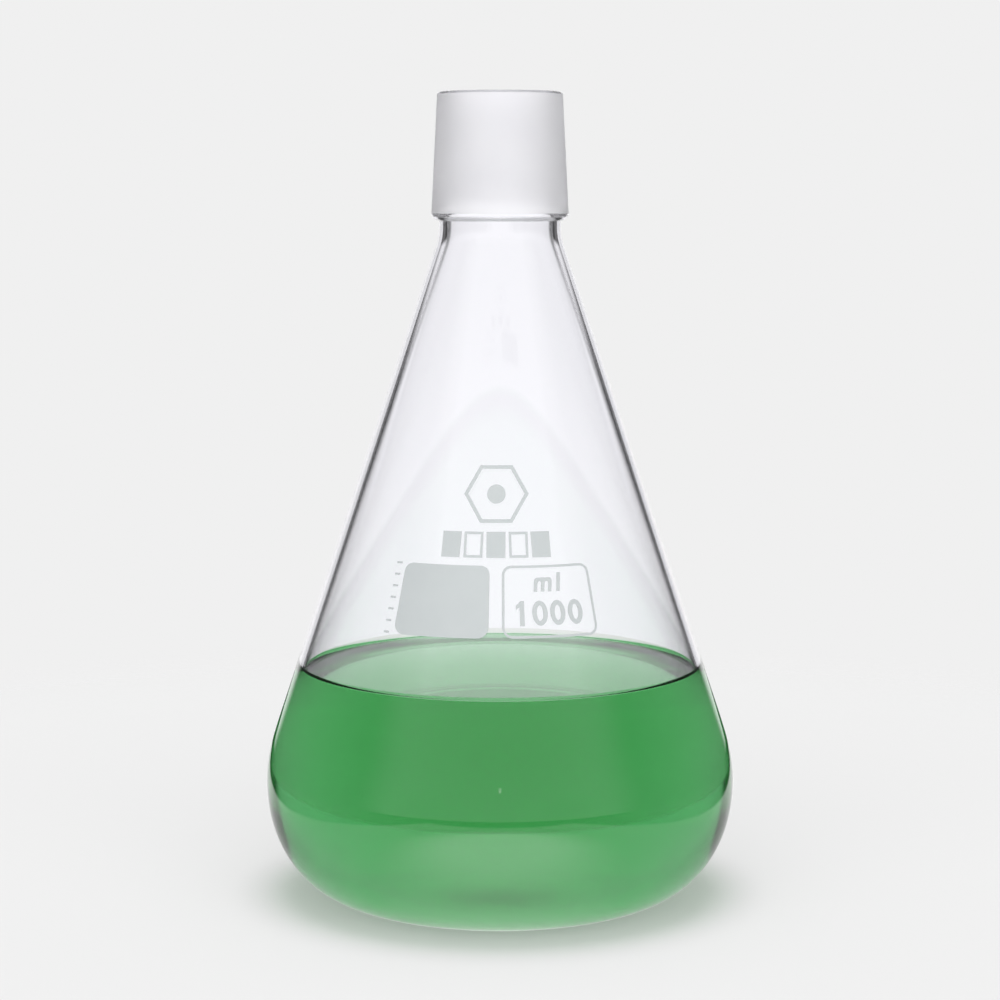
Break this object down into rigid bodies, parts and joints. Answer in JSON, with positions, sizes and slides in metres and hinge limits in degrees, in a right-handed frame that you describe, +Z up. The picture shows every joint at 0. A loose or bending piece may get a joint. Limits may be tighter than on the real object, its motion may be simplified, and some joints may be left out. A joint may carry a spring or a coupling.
{
  "type": "erlenmeyer flask",
  "caption": "Conical glass laboratory flask with a rounded heel, a ground male taper joint on its neck, printed capacity fields and a green liquid filling.",
  "frame": {"origin": "centre of the base, on the surface that the flask stands on", "axes": "+Z up along the flask's axis towards the joint's rim, -Y towards the front that carries the printed fields, +X to the right of someone facing them"},
  "size_m": [0.139, 0.139, 0.2365],
  "materials": {
    "clear_glass": "polished",
    "ground_glass": "matte",
    "green_liquid": "polished",
    "enamel": "satin"
  },
  "bodies": {
    "root": {"flask_body": "clear_glass", "ground_cone": "ground_glass", "green_liquid": "green_liquid", "marking_field": "enamel", "capacity_frame": "enamel", "capacity_unit": "enamel", "capacity_number": "enamel", "emblem": "enamel", "name_bar": "enamel", "side_ticks": "enamel"}
  },
  "joints": []
}
